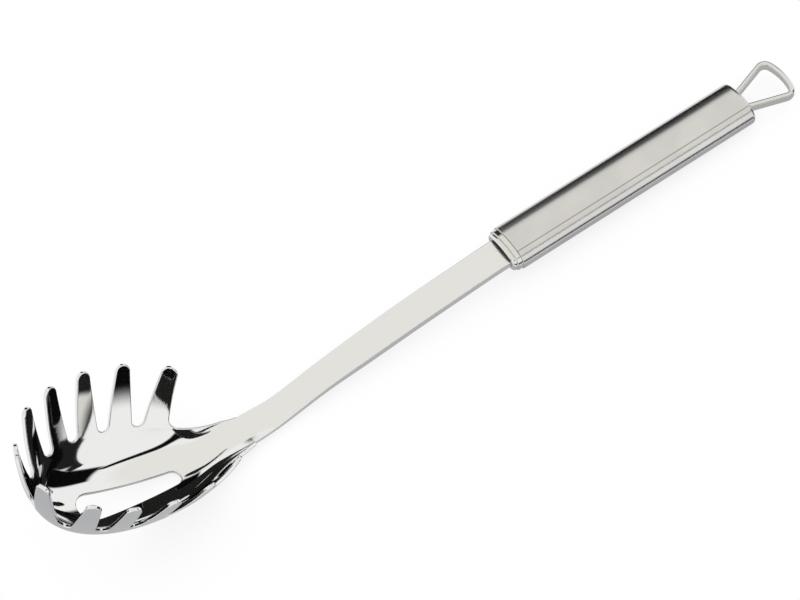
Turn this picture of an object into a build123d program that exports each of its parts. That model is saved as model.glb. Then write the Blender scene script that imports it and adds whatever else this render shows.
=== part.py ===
from build123d import *

import os
from math import cos, exp, radians, sin

# Pasta server: a pressed, tined bowl on a flat neck, a tubular handle closed by two caps, a hanging loop.
# Millimetres. The tool rests on a table, z = 0, with the bowl open to the top. X runs from the bowl to
# the hanging loop and Y across the tool. The handle has its own frame: its origin lies on the tube's
# front edge, level with the top creases. The bowl has another, with its origin at the floor's lowest part.

# Resting place of the handle's frame
rest_tilt = 1.93
tool_x = 34.38
tool_z = 14.31

# Handle tube
tube_length = 103.0
handle_half_width = 9.65
crease_half_width = 5.9
crease_half_height = 4.96
face_crown = 0.9
tube_wall = 1.0
edge_break = 0.15

# Front cap, forward of the tube's front edge
collar_length = 1.9
collar_inset = 0.5
nose_length = 1.7
nose_inset = 1.1
nose_round = 0.9
front_plug_length = 9.0
plug_clearance = 0.1
neck_clearance = 0.15

# Rear cap
rear_cap_length = 3.0
rear_cap_round = 1.6
rear_plug_length = 9.0

# Hanging loop, a strip stood on edge, measured from the rear cap's end
strip_thickness = 1.9
strip_height = 4.0
foot_depth = 5.0
foot_half_spread = 1.8
loop_corner_reach = 17.5
loop_corner_half_width = 9.5
loop_corner_radius = 3.0
loop_reach = 19.5
foot_clearance = 0.1

# Neck, forward from the front cap, and the tang behind it
neck_half_width = 6.2
neck_waist = 0.45
neck_thickness = 3.0
neck_drop = 12.6
joint_reach = 116.0
tang_length = 16.0

# Bowl: reach from the middle of the floor, at the floor and at the tips
sheet = 1.5
bowl_tilt = 25.7
bowl_reach = 169.9
bowl_drop = 7.0
bowl_depth = 35.0
floor_front = 30.4
floor_side = 14.8
floor_rear = 43.0
tip_front = 42.0
tip_side = 31.2
knuckle_ends = 2.6
knuckle_side = 2.1

# Ramp from the floor of the bowl up to the neck
ramp_height = 16.0
ramp_run = 12.0
ramp_reach = 54.0

# Tines
tip_turns = (46.2, 70.7, 92.0, 112.4, 132.5, 162.5)
tip_half_width = 2.8
gap_root_half_width = 2.3
root_height = 13.0

# Rim between the rear tines and the neck
rear_edge_at_tip = 31.8
rear_edge_at_rim = 28.5
rim_height = 12.5
rim_corner_radius = 2.5
rim_bend_reach = 45.8
rim_bend_height = 14.9
rim_end_reach = 58.0
rim_end_height = 20.0
shoulder_reach = 30.6
shoulder_half_width = 16.2
shoulder_bend_reach = 42.5
shoulder_bend_half_width = 6.9

# Drain slot
slot_front_radius = 5.9
slot_rear_radius = 3.0
slot_front_reach = 8.5
slot_rear_reach = 24.3

# One overrun for every cut
overrun = 5.0

# Shares that shape the sheet and the neck
knuckle_bow_share = 0.7
row_spread_share = 2.2
ramp_turn = 28.0
lap_turn = 8.0
neck_station_shares = (0.87, 0.72, 0.57, 0.41, 0.22)
neck_drop_shares = (0.82, 0.545, 0.365, 0.21, 0.085)
neck_waist_shares = (0.85, 1.0, 0.45, 0.05, 0.0)
neck_thickness_shares = (0.2, 0.6, 1.0, 1.0, 1.0)
rows = 18
columns = 30


def tilted(turn, origin):
    """A plane whose X axis dips towards the rear by a turn in degrees."""
    angle = radians(turn)
    return Plane(origin=origin, x_dir=(cos(angle), 0, -sin(angle)), z_dir=(sin(angle), 0, cos(angle)))


tool = tilted(rest_tilt, (tool_x, 0, tool_z))
bowl = tilted(rest_tilt + bowl_tilt, tool.from_local_coords(Vector(-bowl_reach, 0, -bowl_drop)))


def across(reach, level):
    """The plane square to the handle at a reach behind the tube's front edge."""
    return Plane(origin=tool.from_local_coords(Vector(reach, 0, level)), x_dir=tool.y_dir, z_dir=tool.x_dir)


def reach_at(height, floor_reach, knuckle, tip_reach):
    """Reach of the sheet at a height: a dished floor that turns up into a straight flare."""
    dish = 1 - exp(-((height / knuckle) ** knuckle_bow_share))
    return floor_reach * dish + (tip_reach - floor_reach) * height / bowl_depth


def sheet_point(turn, height):
    """A point of the bowl's inner face, at a turn in degrees from the neck and a height."""
    front = reach_at(height, floor_front, knuckle_ends, tip_front)
    side = reach_at(height, floor_side, knuckle_side, tip_side)
    rise = height / ramp_height
    slide = rise ** 3 if rise < 1 else 3 * rise - 2
    rear = reach_at(height, floor_rear, knuckle_ends, tip_front)
    rear += ramp_run * slide * exp(-((turn / ramp_turn) ** 4))
    angle = radians(turn)
    rear_share = (1 + cos(angle)) / 2
    along = (front + (rear - front) * rear_share) * cos(angle)
    return bowl.from_local_coords(Vector(along, side * sin(angle), height))


# Inner face of the bowl over one half of the tool, with a lap past the middle plane.
# It starts a little above the floor, inside the drain slot, where every turn would meet in one point.
floor_hole = slot_rear_radius / 2
low_height = knuckle_side * (floor_hole / floor_side) ** (1 / knuckle_bow_share)
top_height = bowl_depth + overrun
turns = [(180 + 2 * lap_turn) * column / columns - lap_turn for column in range(columns + 1)]
span = top_height - low_height
heights = [low_height + span * (row / rows) ** row_spread_share for row in range(rows + 1)]
inner_face = Face.make_surface_from_array_of_points(
    [[sheet_point(turn, height) for turn in turns] for height in heights]
)

# Tips of one side's tines in plan, from the rear to the front, and the first one of the other side
tips = [Vector(tip_front * cos(radians(turn)), tip_side * sin(radians(turn)), 0) for turn in tip_turns]
tips.append(Vector(tips[-1].X, -tips[-1].Y, 0))

with BuildPart() as half_head:
    thicken(inner_face, amount=-sheet)
    split(bisect_by=Plane.XZ, keep=Keep.BOTTOM)
    split(bisect_by=across(-joint_reach, 0), keep=Keep.BOTTOM)
    # Gaps between neighbouring tines, round at the root and opening to the tips' round corners
    for tip, next_tip in zip(tips, tips[1:]):
        half_pitch = (tip - next_tip).length / 2
        chord = (tip - next_tip).normalized()
        outward = Vector(-chord.Y, chord.X, 0)
        cut_plane = Plane(
            origin=bowl.from_local_coords((tip + next_tip) / 2 - outward * tip_side / 2),
            x_dir=bowl.origin - bowl.from_local_coords(chord),
            z_dir=bowl.from_local_coords(outward) - bowl.origin,
        )
        with BuildSketch(cut_plane):
            with BuildLine():
                low = root_height + gap_root_half_width
                high = bowl_depth - tip_half_width
                straight = half_pitch - tip_half_width
                cheek = half_pitch - tip_half_width * cos(radians(45))
                crest = high + tip_half_width * sin(radians(45))
                ThreePointArc((-gap_root_half_width, low), (0, root_height), (gap_root_half_width, low))
                for hand in (1, -1):
                    Line((hand * gap_root_half_width, low), (hand * straight, high))
                    ThreePointArc((hand * straight, high), (hand * cheek, crest), (hand * half_pitch, bowl_depth))
                    Line((hand * half_pitch, bowl_depth), (hand * half_pitch, top_height + overrun))
                Line((-half_pitch, top_height + overrun), (half_pitch, top_height + overrun))
            make_face()
        extrude(amount=tip_front, mode=Mode.SUBTRACT)
    # Above the tips, behind the rear tine and above the rim, seen from the side
    with BuildSketch(Plane(origin=bowl.origin, x_dir=bowl.x_dir, z_dir=-bowl.y_dir)) as rim:
        with BuildLine():
            Polyline(
                (-2 * tip_front, bowl_depth),
                (rear_edge_at_tip, bowl_depth),
                (rear_edge_at_rim, rim_height),
            )
            Bezier(
                (rear_edge_at_rim, rim_height),
                ((rear_edge_at_rim + rim_bend_reach) / 2, rim_height),
                (rim_bend_reach, rim_bend_height),
                (rim_end_reach, rim_end_height),
            )
            Polyline(
                (rim_end_reach, rim_end_height),
                (2 * rim_end_reach, 2 * rim_end_height),
                (2 * rim_end_reach, top_height + overrun),
                (-2 * tip_front, top_height + overrun),
                (-2 * tip_front, bowl_depth),
            )
        make_face()
        fillet(rim.vertices().sort_by_distance((rear_edge_at_tip, bowl_depth))[0], radius=tip_half_width)
        fillet(rim.vertices().sort_by_distance((rear_edge_at_rim, rim_height))[0], radius=rim_corner_radius)
    extrude(amount=-2 * tip_side, mode=Mode.SUBTRACT)
    # Shoulders that run in to the neck, seen from above
    with BuildSketch(bowl.offset(-2 * root_height)):
        with BuildLine():
            Bezier(
                (shoulder_reach, shoulder_half_width),
                (shoulder_bend_reach, shoulder_bend_half_width),
                (ramp_reach, neck_half_width),
            )
            Polyline(
                (ramp_reach, neck_half_width),
                (2 * ramp_reach, neck_half_width),
                (2 * ramp_reach, 2 * tip_side),
                (shoulder_reach, 2 * tip_side),
                (shoulder_reach, shoulder_half_width),
            )
        make_face()
    extrude(amount=4 * root_height + bowl_depth, mode=Mode.SUBTRACT)
    # Drain slot, wide at the front and narrow at the rear
    with BuildSketch(bowl.offset(-root_height)):
        with Locations((-slot_front_reach, 0)):
            Circle(slot_front_radius)
        with Locations((slot_rear_reach, 0)):
            Circle(slot_rear_radius)
        make_hull()
    extrude(amount=2 * root_height, mode=Mode.SUBTRACT)
    # Neck, from the sheet's rear edge up to the front cap
    sections = [half_head.faces().sort_by(Axis(tool.origin, tool.x_dir))[-1]]
    neck_top = neck_thickness / 2 - crease_half_height
    neck_shares = zip(neck_station_shares, neck_drop_shares, neck_waist_shares, neck_thickness_shares)
    for station_share, drop_share, waist_share, thickness_share in neck_shares:
        thickness = sheet + (neck_thickness - sheet) * thickness_share
        level = neck_top - neck_drop * drop_share - thickness / 2
        with BuildSketch(across(-joint_reach * station_share, level)) as section:
            Rectangle(neck_half_width - neck_waist * waist_share, thickness, align=(Align.MIN, Align.CENTER))
        sections.append(section.sketch.face())
    with BuildSketch(across(-collar_length - nose_length, -crease_half_height)) as section:
        Rectangle(neck_half_width, neck_thickness, align=(Align.MIN, Align.CENTER))
    sections.append(section.sketch.face())
    loft(sections=sections)
    extrude(section.sketch, amount=collar_length + nose_length + tang_length)

# The two halves share their rims in the middle plane, so their other faces are sewn into one shell
one_side = [face for group in half_head.faces().group_by(Axis.Y)[1:] for face in group]
both_sides = one_side + [face.mirror(Plane.XZ) for face in one_side]

with BuildPart() as head:
    add(Solid(Shell(both_sides)), clean=False)

# Section of the handle: crowned faces between the creases, and round sides
with BuildSketch() as grip:
    with BuildLine():
        for hand in (1, -1):
            ThreePointArc(
                (hand * crease_half_width, crease_half_height),
                (hand * handle_half_width, 0),
                (hand * crease_half_width, -crease_half_height),
            )
            ThreePointArc(
                (-crease_half_width, hand * crease_half_height),
                (0, hand * (crease_half_height + face_crown)),
                (crease_half_width, hand * crease_half_height),
            )
    make_face()

with BuildPart() as handle_tube:
    with BuildSketch(across(0, -crease_half_height)):
        add(grip.sketch)
        offset(grip.sketch, amount=-tube_wall, mode=Mode.SUBTRACT)
    extrude(amount=tube_length)
    front_end = handle_tube.faces().sort_by(Axis(tool.origin, tool.x_dir))[0]
    fillet(front_end.outer_wire().edges(), radius=edge_break)

with BuildPart() as front_cap:
    with BuildSketch(across(0, -crease_half_height)):
        offset(grip.sketch, amount=-collar_inset)
    extrude(amount=-collar_length)
    with BuildSketch(across(-collar_length, -crease_half_height)):
        offset(grip.sketch, amount=-nose_inset)
    extrude(amount=-nose_length)
    nose_end = front_cap.faces().sort_by(Axis(tool.origin, tool.x_dir))[0]
    fillet(nose_end.edges(), radius=nose_round)
    with BuildSketch(across(0, -crease_half_height)):
        offset(grip.sketch, amount=-tube_wall - plug_clearance)
    extrude(amount=front_plug_length)
    with BuildSketch(across(-collar_length - nose_length - overrun, -crease_half_height)):
        Rectangle(2 * (neck_half_width + neck_clearance), neck_thickness + 2 * neck_clearance)
    extrude(amount=collar_length + nose_length + front_plug_length + 2 * overrun, mode=Mode.SUBTRACT)

# Middle line of the hanging loop, from one foot to the other, in the middle plane of the handle
loop_plane = Plane(
    origin=tool.from_local_coords(Vector(tube_length + rear_cap_length, 0, -crease_half_height)),
    x_dir=tool.x_dir,
    z_dir=tool.z_dir,
)
with BuildLine() as loop_path:
    Line((-foot_depth, foot_half_spread), (loop_corner_reach, loop_corner_half_width))
    ThreePointArc(
        (loop_corner_reach, loop_corner_half_width),
        (loop_reach, 0),
        (loop_corner_reach, -loop_corner_half_width),
    )
    Line((loop_corner_reach, -loop_corner_half_width), (-foot_depth, -foot_half_spread))
    fillet(loop_path.vertices().group_by(Axis.X)[1], radius=loop_corner_radius)

with BuildPart() as hanging_loop:
    with BuildSketch(loop_plane):
        trace(loop_path.edges(), line_width=strip_thickness)
    extrude(amount=strip_height / 2, both=True)

with BuildPart() as rear_cap:
    with BuildSketch(across(tube_length, -crease_half_height)):
        add(grip.sketch)
    extrude(amount=rear_cap_length)
    rear_end = rear_cap.faces().sort_by(Axis(tool.origin, tool.x_dir))[-1]
    fillet(rear_end.edges(), radius=rear_cap_round)
    with BuildSketch(across(tube_length, -crease_half_height)):
        offset(grip.sketch, amount=-tube_wall - plug_clearance)
    extrude(amount=-rear_plug_length)
    # Pockets for the loop's feet
    with BuildSketch(loop_plane):
        trace(loop_path.edges(), line_width=strip_thickness + 2 * foot_clearance)
    extrude(amount=strip_height / 2 + foot_clearance, both=True, mode=Mode.SUBTRACT)

head.part.label = "head"
front_cap.part.label = "front_cap"
handle_tube.part.label = "handle_tube"
rear_cap.part.label = "rear_cap"
hanging_loop.part.label = "hanging_loop"

os.makedirs("parts", exist_ok=True)
export_step(head.part, "parts/head.step")
export_step(front_cap.part, "parts/front_cap.step")
export_step(handle_tube.part, "parts/handle_tube.step")
export_step(rear_cap.part, "parts/rear_cap.step")
export_step(hanging_loop.part, "parts/hanging_loop.step")
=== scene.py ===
"""Looks for an all-steel pasta server: a mirror-polished tined bowl, a satin neck and a brushed handle.

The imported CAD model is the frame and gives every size. The head is rebuilt here from the same formula as
the CAD sheet, at a finer pitch and with polished edges, because a mirror shows every facet. The hanging
loop is rebuilt too, with the round edges that buffing leaves. The caps and the tube are the CAD pieces
themselves, with a maker's finish on each.
"""

import logging
from dataclasses import dataclass, field
from enum import Enum
from math import cos, pi, radians, sin, sqrt
from typing import Any, Callable, Optional, Sequence, Union

import bpy
import numpy as np
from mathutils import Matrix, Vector
from mathutils.geometry import delaunay_2d_cdt


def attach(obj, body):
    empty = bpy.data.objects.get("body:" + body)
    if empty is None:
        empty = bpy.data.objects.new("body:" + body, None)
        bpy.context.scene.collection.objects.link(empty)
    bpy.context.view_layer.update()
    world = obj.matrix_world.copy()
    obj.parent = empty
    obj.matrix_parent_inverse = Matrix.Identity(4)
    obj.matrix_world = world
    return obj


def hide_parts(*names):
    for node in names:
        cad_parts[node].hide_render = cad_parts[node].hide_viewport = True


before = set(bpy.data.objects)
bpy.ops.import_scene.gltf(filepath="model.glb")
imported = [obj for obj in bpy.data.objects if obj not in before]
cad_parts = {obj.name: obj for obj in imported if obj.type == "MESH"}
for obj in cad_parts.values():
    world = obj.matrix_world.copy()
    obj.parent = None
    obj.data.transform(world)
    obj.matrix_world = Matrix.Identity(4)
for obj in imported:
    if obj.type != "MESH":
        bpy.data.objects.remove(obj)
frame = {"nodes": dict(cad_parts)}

LOG = logging.getLogger("pasta_server")
MM = 0.001
Array = np.ndarray
Socket = bpy.types.NodeSocket
Tree = bpy.types.NodeTree

MATHS, RANGE, MIX = "ShaderNodeMath", "ShaderNodeMapRange", "ShaderNodeMix"
SMOOTH = {"interpolation_type": "SMOOTHSTEP"}
COLOURS = {"data_type": "RGBA"}
TIMES, LESS = {"operation": "MULTIPLY"}, {"operation": "SUBTRACT"}
GREATEST, OVER = {"operation": "MAXIMUM"}, {"operation": "GREATER_THAN"}
SIZE_OF, DEGREES = {"operation": "ABSOLUTE"}, {"operation": "DEGREES"}


class Lay(Enum):
    """How a steel surface was left by the last wheel or belt."""

    MIRROR = "mirror"
    BRUSHED = "brushed"
    BUFFED = "buffed"


def linear(hex_colour: str) -> tuple[float, float, float, float]:
    """Turn an sRGB hex colour into linear light.

    Args:
        hex_colour: six hex digits, with or without the hash sign.

    Returns:
        Red, green and blue in linear light, and an alpha of one.
    """
    digits = hex_colour.lstrip("#")
    channels = []
    for place in (0, 2, 4):
        level = int(digits[place : place + 2], 16) / 255
        channels.append(level / 12.92 if level <= 0.04045 else ((level + 0.055) / 1.055) ** 2.4)
    return (channels[0], channels[1], channels[2], 1.0)


def add_node(
    tree: Tree,
    kind: str,
    settings: Optional[dict[str, Any]] = None,
    inputs: Union[dict[Any, Any], Sequence[Any]] = (),
    output: Union[int, str] = 0,
) -> Socket:
    """Add one node with its settings and its inputs.

    Args:
        tree: the node tree that gets the node.
        kind: Blender's identifier of the node.
        settings: attributes of the node itself.
        inputs: the socket or plain value of each input, by its name or number, or else in order.
        output: the name or number of the output that is wanted.

    Returns:
        That output's socket, which knows its node.
    """
    node = tree.nodes.new(kind)
    for name, value in (settings or {}).items():
        setattr(node, name, value)
    feeds = inputs if isinstance(inputs, dict) else dict(enumerate(inputs))
    for name, value in feeds.items():
        if isinstance(value, Socket):
            tree.links.new(value, node.inputs[name])
        else:
            node.inputs[name].default_value = value
    return node.outputs[output]


@dataclass(frozen=True)
class SteelFinish:
    """One finish of 18/10 stainless steel, the metal of every piece.

    A metal keeps the default index of refraction, and its colour is the share of light that it gives
    back. Brushing leaves fine scratches along the tool, which draw each reflection out to a soft sheen.
    A real scratch is under 0.02 mm wide, and is drawn about ten times as coarse so that it shows.
    """

    name: str
    colour: str
    lay: Lay
    roughness: float
    edge_mm: float = 0.2
    scratch_width_mm: float = 0.22
    scratch_length_mm: float = 26.0
    scratch_depth_mm: float = 0.002

    def start(self, name: str) -> tuple[bpy.types.Material, Tree, bpy.types.Node]:
        """Start a material of this steel.

        Args:
            name: the material's name.

        Returns:
            The material, its node tree and its shader.
        """
        material = bpy.data.materials.new(name)
        material.use_nodes = True
        shader = material.node_tree.nodes["Principled BSDF"]
        shader.inputs["Base Color"].default_value = linear(self.colour)
        shader.inputs["Metallic"].default_value = 1.0
        shader.inputs["Roughness"].default_value = self.roughness
        return material, material.node_tree, shader

    def scratches(self, tree: Tree) -> Socket:
        """Add the scratch pattern, which is long and thin along the tool.

        Args:
            tree: the material's node tree.

        Returns:
            The level of the pattern, round one half.
        """
        where = add_node(tree, "ShaderNodeTexCoord", output="Object")
        across, along = 1 / (self.scratch_width_mm * MM), 1 / (self.scratch_length_mm * MM)
        inputs = {"Vector": where, "Scale": (along, across, across)}
        stretched = add_node(tree, "ShaderNodeMapping", {"vector_type": "POINT"}, inputs)
        inputs = {"Vector": stretched, "Scale": 1.0, "Detail": 3.0, "Roughness": 0.6}
        return add_node(tree, "ShaderNodeTexNoise", None, inputs, "Fac")

    def dress(self, tree: Tree, shader: bpy.types.Node, share: Union[Socket, float] = 1.0) -> None:
        """Give a shader the relief that this finish leaves on the steel.

        Args:
            tree: the material's node tree.
            shader: the material's shader.
            share: how much of the brushing shows, from none at zero to all of it at one.
        """
        if self.lay is Lay.BRUSHED:
            depth = self.scratch_depth_mm * MM
            inputs = {"Height": self.scratches(tree), "Distance": depth, "Strength": share}
            relief = add_node(tree, "ShaderNodeBump", None, inputs)
        elif self.lay is Lay.BUFFED:
            relief = add_node(tree, "ShaderNodeBevel", {"samples": 6}, {"Radius": self.edge_mm * MM})
        else:
            return
        tree.links.new(relief, shader.inputs["Normal"])

    def whole(self) -> bpy.types.Material:
        """Make the material of a piece that has this finish all over.

        Returns:
            The material.
        """
        material, tree, shader = self.start(self.name)
        self.dress(tree, shader)
        return material


# Sheet polished on a sisal wheel and then on cloth: the eye sees the room in it, sharp to the edge.
MIRROR_STEEL = SteelFinish("stainless_mirror_polished", "#EBEBEA", Lay.MIRROR, 0.035)
# Drawn tube and bar, brushed lengthwise on a fine belt: one soft grey sheen that runs along the piece.
SATIN_STEEL = SteelFinish("stainless_satin_brushed", "#DEDDDB", Lay.BRUSHED, 0.2)
# Pressed cap, buffed after welding: blurred reflections, and a bright line on each rounded edge.
CAP_STEEL = SteelFinish("stainless_cap_buffed", "#E2E1DE", Lay.BUFFED, 0.13, edge_mm=0.25)
# Bent strip, tumbled and buffed: nearly a mirror, with no sharp edge left on it.
STRIP_STEEL = SteelFinish("stainless_strip_buffed", "#E2E1DE", Lay.BUFFED, 0.06, edge_mm=0.2)


@dataclass(frozen=True)
class SideFrame:
    """A frame of the tool's long section: its X axis dips towards the rear by a turn in degrees."""

    x: float
    z: float
    dip: float

    def to_row(self, points: Array) -> Array:
        """Carry points of this frame into the row frame.

        Args:
            points: places along, across and up, in millimetres.

        Returns:
            The same places in the row frame, in millimetres.
        """
        turn = radians(self.dip)
        x = self.x + points[..., 0] * cos(turn) + points[..., 2] * sin(turn)
        z = self.z - points[..., 0] * sin(turn) + points[..., 2] * cos(turn)
        return np.stack([x, points[..., 1], z], -1)

    def turned(self, vectors: Array) -> Array:
        """Carry directions of this frame into the row frame."""
        return SideFrame(0, 0, self.dip).to_row(vectors)


# The handle's frame starts at the tube's front edge, level with the creases of its top face.
HANDLE_FRAME = SideFrame(34.38, 14.31, 1.93)


@dataclass
class MeshParts:
    """Vertices with their own normals, and faces, gathered before one mesh is made."""

    points: list[Array] = field(default_factory=list)
    normals: list[Array] = field(default_factory=list)
    faces: list[tuple[int, ...]] = field(default_factory=list)
    count: int = 0

    def add(self, points: Array, normals: Array) -> int:
        """Take in points with their normals.

        Args:
            points: places in millimetres.
            normals: their directions.

        Returns:
            The number of the first point.
        """
        start = self.count
        self.points.append(points.reshape(-1, 3))
        self.normals.append(normals.reshape(-1, 3))
        self.count += len(self.points[-1])
        return start

    def add_grid(self, points: Array, normals: Array, closed: bool = False) -> int:
        """Take in rows of points that are joined by four-sided faces, wound the way the normals point.

        Args:
            points: an array of rows by columns by three.
            normals: the same, for the normals.
            closed: whether each row closes on itself.

        Returns:
            The number of the first point.
        """
        start = self.add(points, normals)
        rows, columns = points.shape[:2]
        facing = np.cross(points[1:, :-1] - points[:-1, :-1], points[:-1, 1:] - points[:-1, :-1])
        flip = float((facing * normals[:-1, :-1]).sum()) > 0
        for row in range(rows - 1):
            for column in range(columns if closed else columns - 1):
                a = start + row * columns + column
                b = start + row * columns + (column + 1) % columns
                face = (a, b, b + columns, a + columns)
                self.faces.append(face[::-1] if flip else face)
        return start

    def make(self, name: str, material: bpy.types.Material) -> bpy.types.Object:
        """Make the Blender object, in metres.

        Args:
            name: the piece's name.
            material: its steel.

        Returns:
            The new piece, with the normals as they were given.
        """
        mesh = bpy.data.meshes.new(name)
        mesh.from_pydata(np.concatenate(self.points) * MM, [], self.faces)
        mesh.polygons.foreach_set("use_smooth", [True] * len(mesh.polygons))
        mesh.update()
        mesh.normals_split_custom_set_from_vertices(np.concatenate(self.normals).tolist())
        mesh.materials.append(material)
        piece = bpy.data.objects.new(name, mesh)
        bpy.context.scene.collection.objects.link(piece)
        return piece


def unit(vectors: Array) -> Array:
    """Scale vectors to a length of one."""
    return vectors / np.maximum(np.linalg.norm(vectors, axis=-1, keepdims=True), 1e-12)


def arc(start: float, end: float, steps: int) -> Array:
    """Directions from one turn in degrees to another, as points of the unit circle."""
    turns = np.radians(np.linspace(start, end, steps + 1))
    return np.stack([np.cos(turns), np.sin(turns)], -1)


def along_path(path: Array) -> Array:
    """The length of a path from its start to each of its points."""
    return np.concatenate([[0], np.cumsum(np.linalg.norm(np.diff(path, axis=0), axis=1))])


def bisect(rises: Callable[[Array], Array], low: Array, high: Array, steps: int = 40) -> Array:
    """Find where a rising function crosses zero, for many cases at once.

    Args:
        rises: the function, which takes one value for each case.
        low: values where it is below zero.
        high: values where it is above zero.
        steps: how many times the span is halved.

    Returns:
        The value of each case where the function is zero.
    """
    low, high = np.array(low, float), np.array(high, float)
    for _ in range(steps):
        middle = (low + high) / 2
        below = rises(middle) < 0
        low = np.where(below, middle, low)
        high = np.where(below, high, middle)
    return (low + high) / 2


def bezier(controls: Sequence[tuple[float, float]], steps: int) -> Array:
    """Points along a Bezier curve.

    Args:
        controls: its control points.
        steps: how many equal steps the parameter takes.

    Returns:
        The points, one more than the steps.
    """
    share = np.linspace(0, 1, steps + 1)[:, None]
    rows = [np.array(control, float) for control in controls]
    while len(rows) > 1:
        rows = [rows[k] + share * (rows[k + 1] - rows[k]) for k in range(len(rows) - 1)]
    return rows[0]


def fillet(before: Array, corner: Array, after: Array, radius: float, steps: int) -> Array:
    """Points of the arc that rounds a corner between two straight lines.

    Args:
        before: the direction from the corner back along the line that comes in.
        corner: where the lines meet.
        after: the direction from the corner along the line that goes out.
        radius: the arc's radius.
        steps: how many equal steps the arc takes.

    Returns:
        The arc's points, from the first line to the second.
    """
    back, ahead = unit(before), unit(after)
    half = np.arccos(np.clip(back @ ahead, -1, 1)) / 2
    centre = corner + unit(back + ahead) * radius / sin(half)
    first = corner + back * radius / np.tan(half) - centre
    last = corner + ahead * radius / np.tan(half) - centre
    sweep = pi - 2 * half
    share = np.linspace(0, 1, steps + 1)[:, None]
    return centre + (np.sin((1 - share) * sweep) * first + np.sin(share * sweep) * last) / sin(sweep)


def inside(spots: Array, border: Array) -> Array:
    """Tell which spots lie inside a closed border.

    Args:
        spots: points of the flat sheet.
        border: the border's corners, once round.

    Returns:
        True for each spot that lies inside.
    """
    result = np.zeros(len(spots), bool)
    x, y = spots[:, 0], spots[:, 1]
    for (ax, ay), (bx, by) in zip(border, np.roll(border, -1, axis=0)):
        if ay != by:
            crosses = (ay > y) != (by > y)
            result ^= crosses & (x < (bx - ax) * (y - ay) / (by - ay) + ax)
    return result


def edge_outward(points: Array, normals: Array) -> Array:
    """Directions in the sheet that point out of it, along a closed line of edge points."""
    ahead = np.roll(points, -1, axis=0) - np.roll(points, 1, axis=0)
    return unit(np.cross(ahead, normals))


def smooth_through(places: Array, values: Sequence[float], wanted: Array, first_slope: float) -> Array:
    """Run a smooth curve through values, with a given slope at its start.

    Args:
        places: rising places of the known values.
        values: the known values.
        wanted: the places that are asked for.
        first_slope: the slope at the first place.

    Returns:
        The curve at the wanted places.
    """
    known = np.array(values)
    slopes = np.gradient(known, places)
    slopes[0], slopes[-1] = first_slope, 0.0
    index = np.clip(np.searchsorted(places, wanted, side="right") - 1, 0, len(places) - 2)
    span = places[index + 1] - places[index]
    t = (wanted - places[index]) / span
    rise = (2 * t**3 - 3 * t**2 + 1) * known[index] + (-2 * t**3 + 3 * t**2) * known[index + 1]
    return rise + span * ((t**3 - 2 * t**2 + t) * slopes[index] + (t**3 - t**2) * slopes[index + 1])


def bar_section(half_width: float, thickness: float, radius: float) -> Array:
    """Section of a flat bar with rounded edges, once round from the top face, whose level is zero.

    Args:
        half_width: half of the bar's width.
        thickness: the bar's thickness.
        radius: the radius of its edges.

    Returns:
        Points across and up, with the same count for every bar.
    """
    flat = np.linspace(-1, 1, 25) * (half_width - radius)
    upper_right = [half_width - radius, -radius] + radius * arc(90, 0, 5)[1:]
    lower_right = (upper_right * [1, -1])[::-1] - [0, thickness]
    top = np.stack([flat, np.zeros(25)], -1)
    bottom = np.stack([flat[::-1], np.full(25, -thickness)], -1)
    lower_left = lower_right[::-1] * [-1, 1]
    upper_left = upper_right[::-1] * [-1, 1]
    return np.concatenate([top, upper_right, lower_right, bottom, lower_left, upper_left])


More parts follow.
